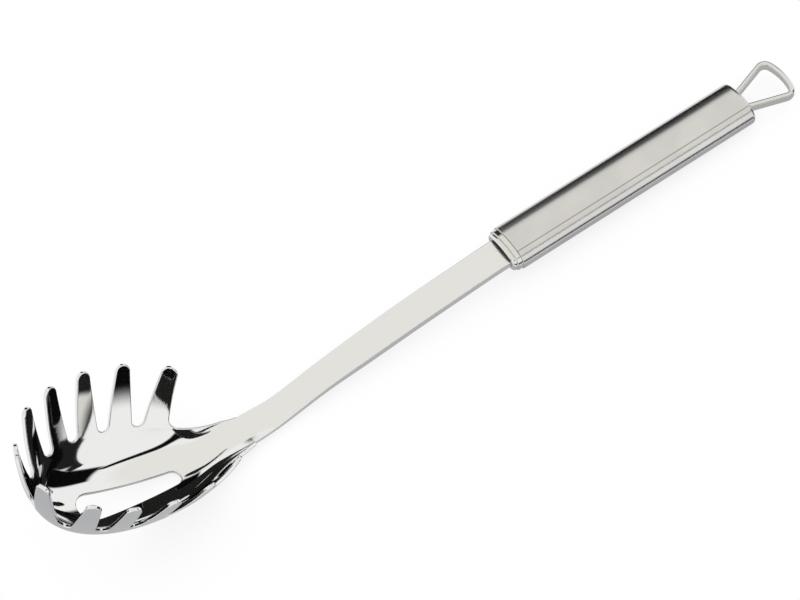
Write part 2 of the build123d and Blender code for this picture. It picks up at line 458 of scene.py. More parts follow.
@dataclass
class PressedHead:
    """The pressed sheet: the tined bowl with its drain slot, and the neck that runs into the front cap.

    All sizes are in millimetres and all turns in degrees from the neck. The bowl's own frame has its
    origin at the lowest part of the floor. Heights are above that floor, and reaches are along the bowl.
    """

    name: str = "pressed_head"
    body: str = "root"

    # Where the bowl lies, and its pressed form.
    bowl_tilt: float = 25.7
    bowl_reach: float = 169.9
    bowl_drop: float = 7.0
    bowl_depth: float = 35.0
    sheet: float = 1.5
    floor_front: float = 30.4
    floor_side: float = 14.8
    floor_rear: float = 43.0
    tip_front: float = 42.0
    tip_side: float = 31.2
    knuckle_ends: float = 2.6
    knuckle_side: float = 2.1
    knuckle_bow_share: float = 0.7
    ramp_height: float = 16.0
    ramp_run: float = 12.0
    ramp_turn: float = 28.0

    # The tines, the gaps between them, and the rim and shoulder that lead to the neck.
    tip_turns: tuple[float, ...] = (46.2, 70.7, 92.0, 112.4, 132.5, 162.5)
    tip_half_width: float = 2.8
    tine_bow: float = 0.38
    gap_root_half_width: float = 2.3
    root_height: float = 13.0
    rear_edge_at_tip: float = 31.8
    rear_edge_at_rim: float = 28.5
    rim_height: float = 12.5
    rim_corner_radius: float = 2.5
    rim_bend: tuple[float, float] = (45.8, 14.9)
    rim_end: tuple[float, float] = (58.0, 20.0)
    shoulder: tuple[tuple[float, float], ...] = ((30.6, 16.2), (42.5, 6.9), (54.0, 6.2))

    # The drain slot: radius and reach of its front and its rear end.
    slot_radii: tuple[float, float] = (5.9, 3.0)
    slot_reaches: tuple[float, float] = (-8.5, 24.3)

    # The neck, from its joint with the bowl to the front cap. Each share belongs to one station.
    joint_reach: float = 116.0
    neck_half_width: float = 6.2
    neck_waist: float = 0.45
    neck_thickness: float = 3.0
    neck_drop: float = 12.6
    neck_top: float = -3.46
    neck_last_bend: float = 3.6
    station_shares: tuple[float, ...] = (0.87, 0.72, 0.57, 0.41, 0.22)
    drop_shares: tuple[float, ...] = (0.82, 0.545, 0.365, 0.21, 0.085)
    waist_shares: tuple[float, ...] = (0.85, 1.0, 0.45, 0.05, 0.0)
    thickness_shares: tuple[float, ...] = (0.2, 0.6, 1.0, 1.0, 1.0)

    # How fine the mesh is, and how round the polished edges are.
    edge_round: float = 0.42
    edge_steps: int = 4
    outline_pitch: float = 0.55
    sheet_pitch: float = 1.25
    bend_pitch: float = 7.0
    edge_clear_share: float = 0.72
    ring_steps: int = 180
    fewest_round: int = 12
    joint_steps: int = 12
    neck_steps: int = 120
    neck_section_steps: int = 40

    # The table of heights, from just above the floor to just above the tips, closer near the floor.
    table_steps: int = 240
    table_start: float = 0.02
    table_overrun: float = 1.0
    table_spread: float = 2.2

    # How far round and how high the edges of the sheet are looked for.
    search_turn: float = 25.0
    rim_lowest: float = 0.05
    slot_heights: tuple[float, float] = (0.0001, 10.0)
    joint_heights: tuple[float, float] = (4.0, 25.0)

    # Where the mirror fades into the brushed neck, along the row frame.
    blur_fade: tuple[float, float] = (-105.0, -66.0)
    scratch_fade: tuple[float, float] = (-98.0, -70.0)

    def __post_init__(self) -> None:
        """Set the bowl's frame and the table of lengths along the sheet."""
        origin = HANDLE_FRAME.to_row(np.array([-self.bowl_reach, 0.0, -self.bowl_drop]))
        self.bowl = SideFrame(float(origin[0]), float(origin[2]), HANDLE_FRAME.dip + self.bowl_tilt)
        spread = np.linspace(0, 1, self.table_steps + 1) ** self.table_spread
        self.table_heights = self.table_start + (self.bowl_depth + self.table_overrun) * spread
        turns, heights = np.meshgrid(np.linspace(0, 360, 361), self.table_heights, indexing="ij")
        points = self.sheet_point(turns, heights)
        steps = np.linalg.norm(np.diff(points, axis=1), axis=-1)
        start = np.linalg.norm(points[:, :1], axis=-1)
        self.table_lengths = np.concatenate([start, start + np.cumsum(steps, axis=1)], axis=1)

    def reach_at(self, height: Array, floor_reach: float, knuckle: float, tip_reach: float) -> Array:
        """Reach of the sheet at a height: a dished floor that turns up into a straight flare."""
        dish = 1 - np.exp(-((height / knuckle) ** self.knuckle_bow_share))
        return floor_reach * dish + (tip_reach - floor_reach) * height / self.bowl_depth

    def side_at(self, height: Array) -> Array:
        """Reach of the sheet at a height, straight out to the side."""
        return self.reach_at(height, self.floor_side, self.knuckle_side, self.tip_side)

    def sheet_point(self, turn: Array, height: Array) -> Array:
        """Points of the inner face in the bowl's frame.

        Args:
            turn: degrees from the neck, up to 360.
            height: millimetres above the floor.

        Returns:
            The points, with the last axis along, across and up.
        """
        turn = np.asarray(turn, float)
        height = np.maximum(np.asarray(height, float), 1e-6)
        from_neck = np.minimum(turn % 360, 360 - turn % 360)
        front = self.reach_at(height, self.floor_front, self.knuckle_ends, self.tip_front)
        rear = self.reach_at(height, self.floor_rear, self.knuckle_ends, self.tip_front)
        rise = height / self.ramp_height
        slide = np.where(rise < 1, rise**3, 3 * rise - 2)
        rear = rear + self.ramp_run * slide * np.exp(-((from_neck / self.ramp_turn) ** 4))
        angle = np.radians(turn)
        along = (front + (rear - front) * (1 + np.cos(angle)) / 2) * np.cos(angle)
        across = self.side_at(height) * np.sin(angle)
        climb = np.clip((height - self.root_height) / (self.bowl_depth - self.root_height), 0, 1)
        bow = self.tine_bow * np.sin(pi * climb) * np.clip(from_neck / self.tip_turns[0], 0, 1)
        along, across = along + bow * np.cos(angle), across + bow * np.sin(angle)
        return np.stack([along, across, height + 0 * along], -1)

    def sheet_normal(self, turn: Array, height: Array) -> Array:
        """Normals of the inner face, which point into the bowl.

        Args:
            turn: degrees from the neck.
            height: millimetres above the floor.

        Returns:
            One normal for each point, from the difference of four near points.
        """
        turn, height = np.asarray(turn, float), np.asarray(height, float)
        small_turn, small_height = 0.05, 0.002 + 0.001 * height
        around = self.sheet_point(turn + small_turn, height) - self.sheet_point(turn - small_turn, height)
        up = self.sheet_point(turn, height + small_height) - self.sheet_point(turn, height - small_height)
        return unit(np.cross(up, around))

    def flat(self, places: Array) -> Array:
        """Roll the sheet out flat: each point keeps its turn and its length along the sheet.

        Args:
            places: turn and height of each point.

        Returns:
            The points of the flat sheet.
        """
        turn, height = places[:, 0] % 360, places[:, 1]
        column = np.clip(turn, 0, 359.999).astype(int)
        share = np.clip(turn, 0, 359.999) - column
        length = np.empty(len(turn))
        for index, (left, level) in enumerate(zip(column, height)):
            first = np.interp(level, self.table_heights, self.table_lengths[left])
            second = np.interp(level, self.table_heights, self.table_lengths[left + 1])
            length[index] = first + (second - first) * share[index]
        angle = np.radians(turn)
        return np.stack([length * np.cos(angle), length * np.sin(angle)], -1)

    def turn_at_along(self, along: Array, height: Array) -> Array:
        """The turn, from 0 to 90 degrees, where the sheet at a height reaches so far along."""
        low, high = np.zeros(len(along)), np.full(len(along), 90.0)
        return bisect(lambda turn: along - self.sheet_point(turn, height)[:, 0], low, high)

    def handle_reach(self, points: Array) -> Array:
        """How far points of the bowl's frame lie behind the tube's front edge."""
        turn = radians(self.bowl_tilt)
        return points[..., 0] * cos(turn) + points[..., 2] * sin(turn) - self.bowl_reach

    def handle_level(self, points: Array) -> Array:
        """How far points of the bowl's frame lie above the handle's frame."""
        turn = radians(self.bowl_tilt)
        return points[..., 2] * cos(turn) - points[..., 0] * sin(turn) - self.bowl_drop

    def spaced(self, path: Array) -> Array:
        """Spread points evenly along a path, about one outline pitch apart.

        Args:
            path: the path's corners.

        Returns:
            The new points, with the path's own first and last.
        """
        lengths = along_path(path)
        count = max(2, int(round(lengths[-1] / self.outline_pitch)))
        places = np.linspace(0, lengths[-1], count + 1)
        return np.stack([np.interp(places, lengths, path[:, axis]) for axis in range(path.shape[1])], -1)

    def rim_outline(self) -> Array:
        """Run along the rim, from the joint with the neck to the crest of the rear tine.

        Returns:
            Turn and height of each point.
        """
        corner = np.array([self.rear_edge_at_rim, self.rim_height])
        tip = np.array([self.rear_edge_at_tip, self.bowl_depth])
        rearward = np.array([1.0, 0.0])
        middle_reach = (self.rear_edge_at_rim + self.rim_bend[0]) / 2
        controls = [tuple(corner), (middle_reach, self.rim_height), self.rim_bend, self.rim_end]
        rim = bezier(controls, steps=200)
        corner_arc = fillet(rearward, corner, tip - corner, self.rim_corner_radius, steps=10)
        tip_arc = fillet(corner - tip, tip, -rearward, self.tip_half_width, steps=14)
        crest = self.tip_front * cos(radians(self.tip_turns[0]))
        first_step = 0.1
        tip_arc = tip_arc[tip_arc[:, 0] > crest + first_step]
        rim = rim[rim[:, 0] > corner_arc[0, 0] + 2 * first_step][::-1]
        rim[:, 1] = np.maximum(rim[:, 1], corner_arc[0, 1])
        turns = self.turn_at_along(rim[:, 0], rim[:, 1])
        across = self.sheet_point(turns, rim[:, 1])[:, 1]
        shoulder = bezier(self.shoulder, steps=60)
        narrow = np.interp(rim[:, 0], shoulder[:, 0], shoulder[:, 1])

        def too_wide(height: Array) -> Array:
            """How far the sheet at a height stands out past the shoulder."""
            turn = self.turn_at_along(rim[:, 0], height)
            return self.sheet_point(turn, height)[:, 1] - np.minimum(across, narrow)

        heights = bisect(too_wide, np.full(len(rim), self.rim_lowest), rim[:, 1])
        heights = np.where(across <= narrow, rim[:, 1], heights)
        turns = self.turn_at_along(rim[:, 0], heights)
        reach = self.handle_reach(self.sheet_point(turns, heights))
        keep = reach < -self.joint_reach
        joint = [np.interp(-self.joint_reach, reach[::-1], values[::-1]) for values in (turns, heights)]
        rest = self.spaced(np.concatenate([corner_arc, tip_arc]))
        rear_edge = np.stack([self.turn_at_along(rest[:, 0], rest[:, 1]), rest[:, 1]], -1)
        return np.concatenate([[joint], np.stack([turns[keep], heights[keep]], -1), rear_edge])

    def gap_outline(self, turn: float, next_turn: float) -> Array:
        """Run down and up the gap between two tines, from one crest to the next.

        Args:
            turn: where the first tine's crest is.
            next_turn: where the second tine's crest is.

        Returns:
            Turn and height of each point.
        """
        angles = np.radians([turn, next_turn])
        ends = np.stack([self.tip_front * np.cos(angles), self.tip_side * np.sin(angles)], -1)
        middle, chord = (ends[0] + ends[1]) / 2, unit(ends[0] - ends[1])
        half_pitch = float(np.linalg.norm(ends[0] - ends[1])) / 2
        crest_centre = [half_pitch, self.bowl_depth - self.tip_half_width]
        crest = crest_centre + self.tip_half_width * arc(90, 0, steps=12) * [-1, 1]
        root_centre = [0.0, self.root_height + self.gap_root_half_width]
        root = root_centre + self.gap_root_half_width * arc(0, 90, steps=10) * [1, -1]
        half = np.concatenate([crest, root])
        path = self.spaced(np.concatenate([half, (half * [-1, 1])[::-1][1:]]))

        def short(place: Array) -> Array:
            """How far the sheet at each height still is from its place along the chord."""
            points = self.sheet_point(place, path[:, 1])[:, :2]
            return path[:, 0] - (points - middle) @ chord

        low, high = turn - self.search_turn, next_turn + self.search_turn
        turns = bisect(short, np.full(len(path), low), np.full(len(path), high))
        return np.stack([turns, path[:, 1]], -1)

    def slot_outline(self) -> Array:
        """Run round the drain slot, which is the hull of a large and a small circle.

        Returns:
            Turn and height of each point.
        """
        (front_radius, rear_radius), (front_reach, rear_reach) = self.slot_radii, self.slot_reaches
        lean = float(np.degrees(np.arccos((front_radius - rear_radius) / (rear_reach - front_reach))))
        rear = [rear_reach, 0] + rear_radius * arc(-lean, lean, steps=29)
        front = [front_reach, 0] + front_radius * arc(lean, 360 - lean, steps=39)
        path = self.spaced(np.concatenate([rear, front, rear[:1]]))[:-1]
        ahead = path[:, 0] < 0
        across = np.abs(path[:, 1])

        def turn_of(height: Array) -> Array:
            """The turn at which the sheet at a height is as far across as the slot's edge."""
            turn = np.degrees(np.arcsin(np.clip(across / self.side_at(height), 0, 1)))
            return np.where(ahead, 180 - turn, turn)

        def past(height: Array) -> Array:
            """How far the sheet at a height lies outside the slot's edge."""
            along = np.abs(self.sheet_point(turn_of(height), height)[:, 0])
            return np.where(self.side_at(height) < across, -1.0, along - np.abs(path[:, 0]))

        low, high = (np.full(len(path), limit) for limit in self.slot_heights)
        heights = bisect(past, low, high, steps=50)
        turns = turn_of(heights)
        return np.stack([np.where(path[:, 1] < 0, 360 - turns, turns), heights], -1)

    def joint_line(self, edge_turn: float, steps: int) -> Array:
        """Run across the joint with the neck, from one edge to the other through zero.

        Args:
            edge_turn: the turn of the sheet's edge at the joint.
            steps: how many equal steps the turn takes.

        Returns:
            Turn and height of each point.
        """
        turns = np.linspace(edge_turn, -edge_turn, steps + 1)

        def behind(height: Array) -> Array:
            """How far the sheet at a height lies behind the joint."""
            return self.handle_reach(self.sheet_point(turns, height)) + self.joint_reach

        low, high = (np.full(len(turns), limit) for limit in self.joint_heights)
        return np.stack([turns, bisect(behind, low, high)], -1)

    def outline(self) -> tuple[Array, int]:
        """Run once round the sheet, from the joint by the near side and back by the far side.

        Returns:
            Turn and height of each point, and the number of points on the joint, which come first.
        """
        side = [self.rim_outline()]
        for turn, next_turn in zip(self.tip_turns, self.tip_turns[1:]):
            side.append(self.gap_outline(turn, next_turn)[1:])
        side.append(self.gap_outline(self.tip_turns[-1], 360 - self.tip_turns[-1])[1:])
        near, hair = np.concatenate(side), 0.01
        near = near[near[:, 0] < 180 + hair]
        far = near[near[:, 0] < 180 - hair][::-1] * [-1, 1] + [360, 0]
        joint = self.joint_line(near[0, 0], self.joint_steps)[::-1]
        joint[:, 0] = joint[:, 0] % 360
        return np.concatenate([joint, near[1:], far[:-1]]), len(joint)

    def inner_points(self, outline: Array, slot: Array) -> Array:
        """Spread points over the sheet, closer where it bends and clear of its edges.

        Args:
            outline: turn and height along the outline.
            slot: turn and height round the slot.

        Returns:
            Turn and height of each point.
        """
        heights = self.table_heights[::2]
        spread = np.zeros(len(heights))
        for turn in (0.0, 90.0, 180.0):
            turns = np.full(len(heights), turn)
            lengths = np.diff(along_path(self.sheet_point(turns, heights))) / self.sheet_pitch
            normals = self.sheet_normal(turns, heights)
            bends = np.degrees(np.arccos(np.clip((normals[1:] * normals[:-1]).sum(1), -1, 1)))
            spread[1:] = np.maximum(spread[1:], np.maximum(lengths, bends / self.bend_pitch))
        total = np.cumsum(spread)
        ring_turns = np.linspace(0, 360, self.ring_steps + 1)
        found = []
        for number, height in enumerate(np.interp(np.arange(1, int(total[-1])), total, heights)):
            around = along_path(self.sheet_point(ring_turns, np.full(len(ring_turns), height)))
            count = max(self.fewest_round, int(around[-1] / self.sheet_pitch))
            places = (np.arange(count) + 0.5 * (number % 2)) / count * around[-1]
            found.append(np.stack([np.interp(places, around, ring_turns), np.full(count, height)], -1))
        points = np.concatenate(found)
        spots, border, hole = self.flat(points), self.flat(outline), self.flat(slot)
        edges = np.concatenate([border, hole])
        nearest = np.array([np.min(np.sum((edges - spot) ** 2, axis=1)) for spot in spots])
        clear = nearest > (self.edge_clear_share * self.sheet_pitch) ** 2
        return points[clear & inside(spots, border) & ~inside(spots, hole)]

    def triangles(self, flat: Array, first: int, last: int) -> Array:
        """Join the points of the flat sheet to triangles that keep to its outline and leave the slot open.

        Args:
            flat: the outline's points, then the slot's, then the ones between.
            first: the number of the slot's first point.
            last: the number of the first point after the slot's.

        Returns:
            Three point numbers for each triangle.
        """
        edges = [(k, (k + 1) % first) for k in range(first)]
        edges += [(k, first + (k + 1 - first) % (last - first)) for k in range(first, last)]
        found = delaunay_2d_cdt([Vector(spot) for spot in flat], edges, [], 0, 1e-7)
        corners = np.array([list(corner) for corner in found[0]])
        if len(corners) > len(flat):
            LOG.warning("the outline crosses itself in %d places", len(corners) - len(flat))
        faces = np.array(found[2])
        centres = corners[faces].mean(axis=1)
        keep = inside(centres, flat[:first]) & ~inside(centres, flat[first:last])
        source = np.array([min(group) if group else 0 for group in found[3]])
        return source[faces[keep]]

    def build_sheet(self, parts: MeshParts) -> None:
        """Add the bowl's two faces and its polished edges to the mesh.

        Args:
            parts: the mesh that is being gathered.
        """
        outline, joint_count = self.outline()
        slot = self.slot_outline()
        places = np.concatenate([outline, slot, self.inner_points(outline, slot)])
        first, last = len(outline), len(outline) + len(slot)
        triangles = self.triangles(self.flat(places), first, last)
        points = self.sheet_point(places[:, 0], places[:, 1])
        normals = self.sheet_normal(places[:, 0], places[:, 1])
        outward = np.zeros_like(points)
        outward[:first] = edge_outward(points[:first], normals[:first])
        outward[first:last] = -edge_outward(points[first:last], normals[first:last])
        outward[:joint_count] = 0
        outward[0, 1], outward[joint_count - 1, 1] = -1, 1
        inner = points - outward * self.edge_round
        outer = inner - normals * self.sheet
        for face, facing, order in ((inner, normals, 1), (outer, -normals, -1)):
            start = parts.add(self.bowl.to_row(face), self.bowl.turned(facing))
            parts.faces += [tuple(int(start + k) for k in triangle[::order]) for triangle in triangles]
        chain = list(range(joint_count - 1, first)) + [0]
        self.add_edge(parts, points[chain], normals[chain], outward[chain], False)
        self.add_edge(parts, points[first:last], normals[first:last], outward[first:last], True)

    def add_edge(
        self, parts: MeshParts, points: Array, normals: Array, outward: Array, closed: bool
    ) -> None:
        """Add the rounded, polished edge of the sheet along a line of points.

        Args:
            parts: the mesh that is being gathered.
            points: the sheet's inner face along the edge, before it is rounded.
            normals: the sheet's normals there.
            outward: directions in the sheet that point out of it.
            closed: whether the line closes on itself.
        """
        radius = self.edge_round
        rows, row_normals = [], []
        for depth, low in ((radius, 0), (self.sheet - radius, 90)):
            for step in range(self.edge_steps + 1):
                angle = radians(low + 90 * step / self.edge_steps)
                normal = normals * cos(angle) + outward * sin(angle)
                rows.append(points - outward * radius - normals * depth + normal * radius)
                row_normals.append(normal)
        grid, grid_normals = np.array(rows), unit(np.array(row_normals))
        parts.add_grid(self.bowl.to_row(grid), self.bowl.turned(grid_normals), closed)

    def build_neck(self, parts: MeshParts) -> None:
        """Add the neck, a bar with rounded edges that starts with the sheet's own section.

        Args:
            parts: the mesh that is being gathered.
        """
        rim_start = self.rim_outline()[:1]
        across_edge = float(self.sheet_point(rim_start[:, 0], rim_start[:, 1])[0, 1])
        joint = self.joint_line(rim_start[0, 0], self.neck_section_steps)
        section = self.sheet_point(joint[:, 0], joint[:, 1])
        section = section[np.argsort(section[:, 1])]
        section_level = self.handle_level(section)
        middle_level = float(np.interp(0, section[:, 1], section_level))
        middle_height, small_drop = joint[len(joint) // 2, 1], 0.4
        ahead = self.sheet_point(np.zeros(2), np.array([middle_height - small_drop, middle_height]))
        slope = float(np.diff(self.handle_level(ahead))[0] / np.diff(self.handle_reach(ahead))[0])
        reach = [-self.joint_reach] + [-self.joint_reach * share for share in self.station_shares]
        reach = np.array(reach + [-self.neck_last_bend, 0.0])
        top = [middle_level] + [self.neck_top - self.neck_drop * share for share in self.drop_shares]
        waist = self.neck_waist
        half = [across_edge] + [self.neck_half_width - waist * share for share in self.waist_shares]
        extra = self.neck_thickness - self.sheet
        thick = [self.sheet] + [self.sheet + extra * share for share in self.thickness_shares]
        stations = np.linspace(reach[0], reach[-1], self.neck_steps + 1)
        tops = smooth_through(reach, top + [self.neck_top] * 2, stations, slope)
        halves = smooth_through(reach, half + [self.neck_half_width] * 2, stations, 0.0)
        thicks = smooth_through(reach, thick + [self.neck_thickness] * 2, stations, 0.0)
        first_stretch = self.joint_reach * (1 - self.station_shares[0])
        rows = []
        for place, level, half_width, thickness in zip(stations, tops, halves, thicks):
            fade = max(0.0, 1 - (place + self.joint_reach) / first_stretch)
            fade = fade * fade * (3 - 2 * fade)
            ring = bar_section(half_width, thickness, self.edge_round)
            section_place = ring[:, 0] * across_edge / half_width
            bend = np.interp(section_place, section[:, 1], section_level - middle_level)
            height = level + ring[:, 1] + bend * fade
            rows.append(np.stack([np.full(len(ring), place), ring[:, 0], height], -1))
        grid = np.array(rows)
        around = np.roll(grid, -1, axis=1) - np.roll(grid, 1, axis=1)
        normals = unit(np.cross(around, np.gradient(grid, axis=0)))
        parts.add_grid(HANDLE_FRAME.to_row(grid), HANDLE_FRAME.turned(normals), True)

    def steel(self) -> bpy.types.Material:
        """Make the sheet's steel, a mirror in the bowl that fades into a belt's satin along the neck.

        The mirror gives the eye the room, bent to black and white shapes by the bowl. The satin gives it
        one soft sheen.

        Returns:
            The material.
        """
        material, tree, shader = MIRROR_STEEL.start("stainless_sheet_mirror_bowl_satin_neck")
        where = add_node(tree, "ShaderNodeTexCoord", output="Object")
        reach = add_node(tree, "ShaderNodeSeparateXYZ", None, [where], "X")
        start, end = (limit * MM for limit in self.scratch_fade)
        satin = add_node(tree, RANGE, SMOOTH, [reach, start, end, 0.0, 1.0])
        start, end = (limit * MM for limit in self.blur_fade)
        blurs = (MIRROR_STEEL.roughness, SATIN_STEEL.roughness)
        blur = add_node(tree, RANGE, SMOOTH, [reach, start, end, *blurs])
        tree.links.new(blur, shader.inputs["Roughness"])
        SATIN_STEEL.dress(tree, shader, satin)
        return material

    def build(self) -> bpy.types.Object:
        """Build the head as one piece and put it in the place of its CAD node.

        Returns:
            The new piece.
        """
        parts = MeshParts()
        self.build_sheet(parts)
        self.build_neck(parts)
        piece = parts.make(self.name, self.steel())
        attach(piece, self.body)
        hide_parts("head")
        return piece


@dataclass
class Grip:
    """The handle: the drawn tube and its two caps, which are the CAD pieces with their finish.

    All sizes are in millimetres. A painted shade darkens the tube's colour in a thin band along each of
    its two creases, and its brushing varies softly in tone from place to place.
    """

    tube: str = "handle_tube"
    front_cap: str = "front_cap"
    rear_cap: str = "rear_cap"
    crease_half_width: float = 5.9
    # Painted shade along the creases: how wide its fade is and how dark it makes the colour.
    painted_crease_fade: tuple[float, float] = (0.06, 0.34)
    painted_crease_shade: float = 0.52
    patch_size: float = 14.0
    patch_shade: float = 0.95
    patch_levels: tuple[float, float] = (0.35, 0.65)
    scratch_shade: float = 0.95
    scratch_levels: tuple[float, float] = (0.3, 0.7)

    def tube_steel(self) -> bpy.types.Material:
        """Make the tube's steel: brushed lengthwise, with the creases that the drawing left sharp.

        It gives the eye a pale grey sheen with fine lines along the handle, and two darker lines of
        painted shade along the creases.

        Returns:
            The material.
        """
        material, tree, shader = SATIN_STEEL.start("stainless_tube_satin_brushed")
        scratches = SATIN_STEEL.scratches(tree)
        shade = add_node(tree, RANGE, SMOOTH, [scratches, *self.scratch_levels, self.scratch_shade, 1.0])
        where = add_node(tree, "ShaderNodeTexCoord", output="Object")
        across = add_node(tree, "ShaderNodeSeparateXYZ", None, [where], "Y")
        across = add_node(tree, MATHS, SIZE_OF, [across])
        # Painted shade: the colour is darkened in a thin band along each crease of the top face.
        off_crease = add_node(tree, MATHS, LESS, [across, self.crease_half_width * MM])
        off_crease = add_node(tree, MATHS, SIZE_OF, [off_crease])
        start, end = (limit * MM for limit in self.painted_crease_fade)
        crease = add_node(tree, RANGE, SMOOTH, [off_crease, start, end, self.painted_crease_shade, 1.0])
        inputs = {"Vector": where, "Scale": 1 / (self.patch_size * MM), "Detail": 1.0}
        patches = add_node(tree, "ShaderNodeTexNoise", None, inputs, "Fac")
        patches = add_node(tree, RANGE, SMOOTH, [patches, *self.patch_levels, self.patch_shade, 1.0])
        for part in (crease, patches):
            shade = add_node(tree, MATHS, TIMES, [shade, part])
        inputs = {0: 1.0, 6: linear(SATIN_STEEL.colour), 7: shade}
        colour = add_node(tree, MIX, {**COLOURS, "blend_type": "MULTIPLY"}, inputs, 2)
        tree.links.new(colour, shader.inputs["Base Color"])
        SATIN_STEEL.dress(tree, shader)
        return material

    def dress(self, nodes: dict[str, bpy.types.Object]) -> list[bpy.types.Object]:
        """Give the tube and the caps their steel.

        Args:
            nodes: the CAD pieces by their names.

        Returns:
            The three pieces, whose meshes stay as they are.
        """
        satin, buffed = self.tube_steel(), CAP_STEEL.whole()
        steels = {self.tube: satin, self.rear_cap: satin, self.front_cap: buffed}
        for name, steel in steels.items():
            if not nodes[name].data.materials:
                nodes[name].data.materials.append(steel)
            for slot in nodes[name].material_slots:
                slot.material = steel
        return [nodes[name] for name in steels]


@dataclass
class HangingLoop:
    """The strip, bent on edge into a rounded triangle, that the tool hangs from.

    All sizes are in millimetres, along the handle from the tube's front edge. The strip is rebuilt here
    with the fully rounded edges that buffing leaves on it.
    """

    name: str = "bent_loop"
    body: str = "root"
    start: float = 106.0
    level: float = -4.96
    foot: tuple[float, float] = (-5.0, 1.8)
    corner: tuple[float, float] = (17.5, 9.5)
    reach: float = 19.5
    bend: float = 3.0
    thickness: float = 1.9
    height: float = 4.0
    edge_round: float = 0.85

    def path(self) -> tuple[Array, Array]:
        """Run along the strip's middle line: an arm, a bend, the front arc and back on the other side.

        Returns:
            Points along and across, and the directions there that point out of the loop.
        """
        sagitta = self.reach - self.corner[0]
        crown = (self.corner[1] ** 2 + sagitta**2) / (2 * sagitta)
        centre = np.array([self.reach - crown, 0.0])
        foot = np.array(self.foot)
        along = unit(np.array(self.corner) - foot)
        inward = np.array([along[1], -along[0]])
        offset = foot + self.bend * inward - centre
        half = float(offset @ along)
        step = -half + sqrt(half**2 - float(offset @ offset) + (crown - self.bend) ** 2)
        pivot = foot + step * along + self.bend * inward
        first = float(np.degrees(np.arctan2(-inward[1], -inward[0])))
        last = float(np.degrees(np.arctan2(pivot[1], pivot[0] - centre[0])))
        arm = foot + np.linspace(0, 1, 24)[:, None] * step * along
        bend_ways, front_ways = arc(first, last, 15)[1:], arc(last, 0, 23)[1:]
        side = np.concatenate([arm, pivot + self.bend * bend_ways, centre + crown * front_ways])
        ways = np.concatenate([np.repeat(-inward[None], len(arm), axis=0), bend_ways, front_ways])
        other_side, other_ways = side[:-1][::-1] * [1, -1], ways[:-1][::-1] * [1, -1]
        return np.concatenate([side, other_side]), np.concatenate([ways, other_ways])

    def section(self) -> tuple[Array, Array]:
        """Run once round the strip's section.

        Returns:
            Points out and up from its middle, and their normals.
        """
        corner = np.array([self.thickness, self.height]) / 2 - self.edge_round
        signs = ((1, 1), (-1, 1), (-1, -1), (1, -1))
        normals = [arc(90 * quarter, 90 * quarter + 90, 8) for quarter in range(4)]
        points = [corner * sign + self.edge_round * normal for sign, normal in zip(signs, normals)]
        return np.concatenate(points), np.concatenate(normals)

    def build(self) -> bpy.types.Object:
        """Sweep the section along the path and put the piece in the place of its CAD node.

        Returns:
            The new piece.
        """
        middle, out = (np.pad(values, ((0, 0), (0, 1)))[:, None] for values in self.path())
        spots, ways = (values[None, :, :, None] for values in self.section())
        up = np.array([0.0, 0.0, 1.0])
        grid = middle + [self.start, 0.0, self.level] + out * spots[:, :, 0] + up * spots[:, :, 1]
        normals = out * ways[:, :, 0] + up * ways[:, :, 1]
        parts = MeshParts()
        parts.add_grid(HANDLE_FRAME.to_row(grid), HANDLE_FRAME.turned(normals), True)
        rows, count = grid.shape[:2]
        parts.faces.append(tuple(range(count)))
        parts.faces.append(tuple(range(rows * count - 1, (rows - 1) * count - 1, -1)))
        piece = parts.make(self.name, STRIP_STEEL.whole())
        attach(piece, self.body)
        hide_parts("hanging_loop")
        return piece


@dataclass(frozen=True)
class RoomPatch:
    """A stretch of the room between two bearings and two heights, in degrees, with soft edges."""

    left: float
    right: float
    low: float
    high: float
    soft: float

    def mask(self, tree: Tree, around: Socket, above: Socket) -> Socket:
        """Add the nodes that tell whether a direction meets this stretch.

        Args:
            tree: the world's node tree.
            around: the direction's bearing.
            above: its height above the horizon.

        Returns:
            One inside the stretch and zero outside it.
        """
        level: Any = 1.0
        across = ((around, self.left, 0), (around, self.right, 1))
        upright = ((above, self.low, 0), (above, self.high, 1))
        for angle, edge, before in across + upright:
            limits = (edge - self.soft, edge + self.soft, before, 1 - before)
            ramp = add_node(tree, RANGE, SMOOTH, [angle, *limits])
            level = add_node(tree, MATHS, TIMES, [level, ramp])
        return level


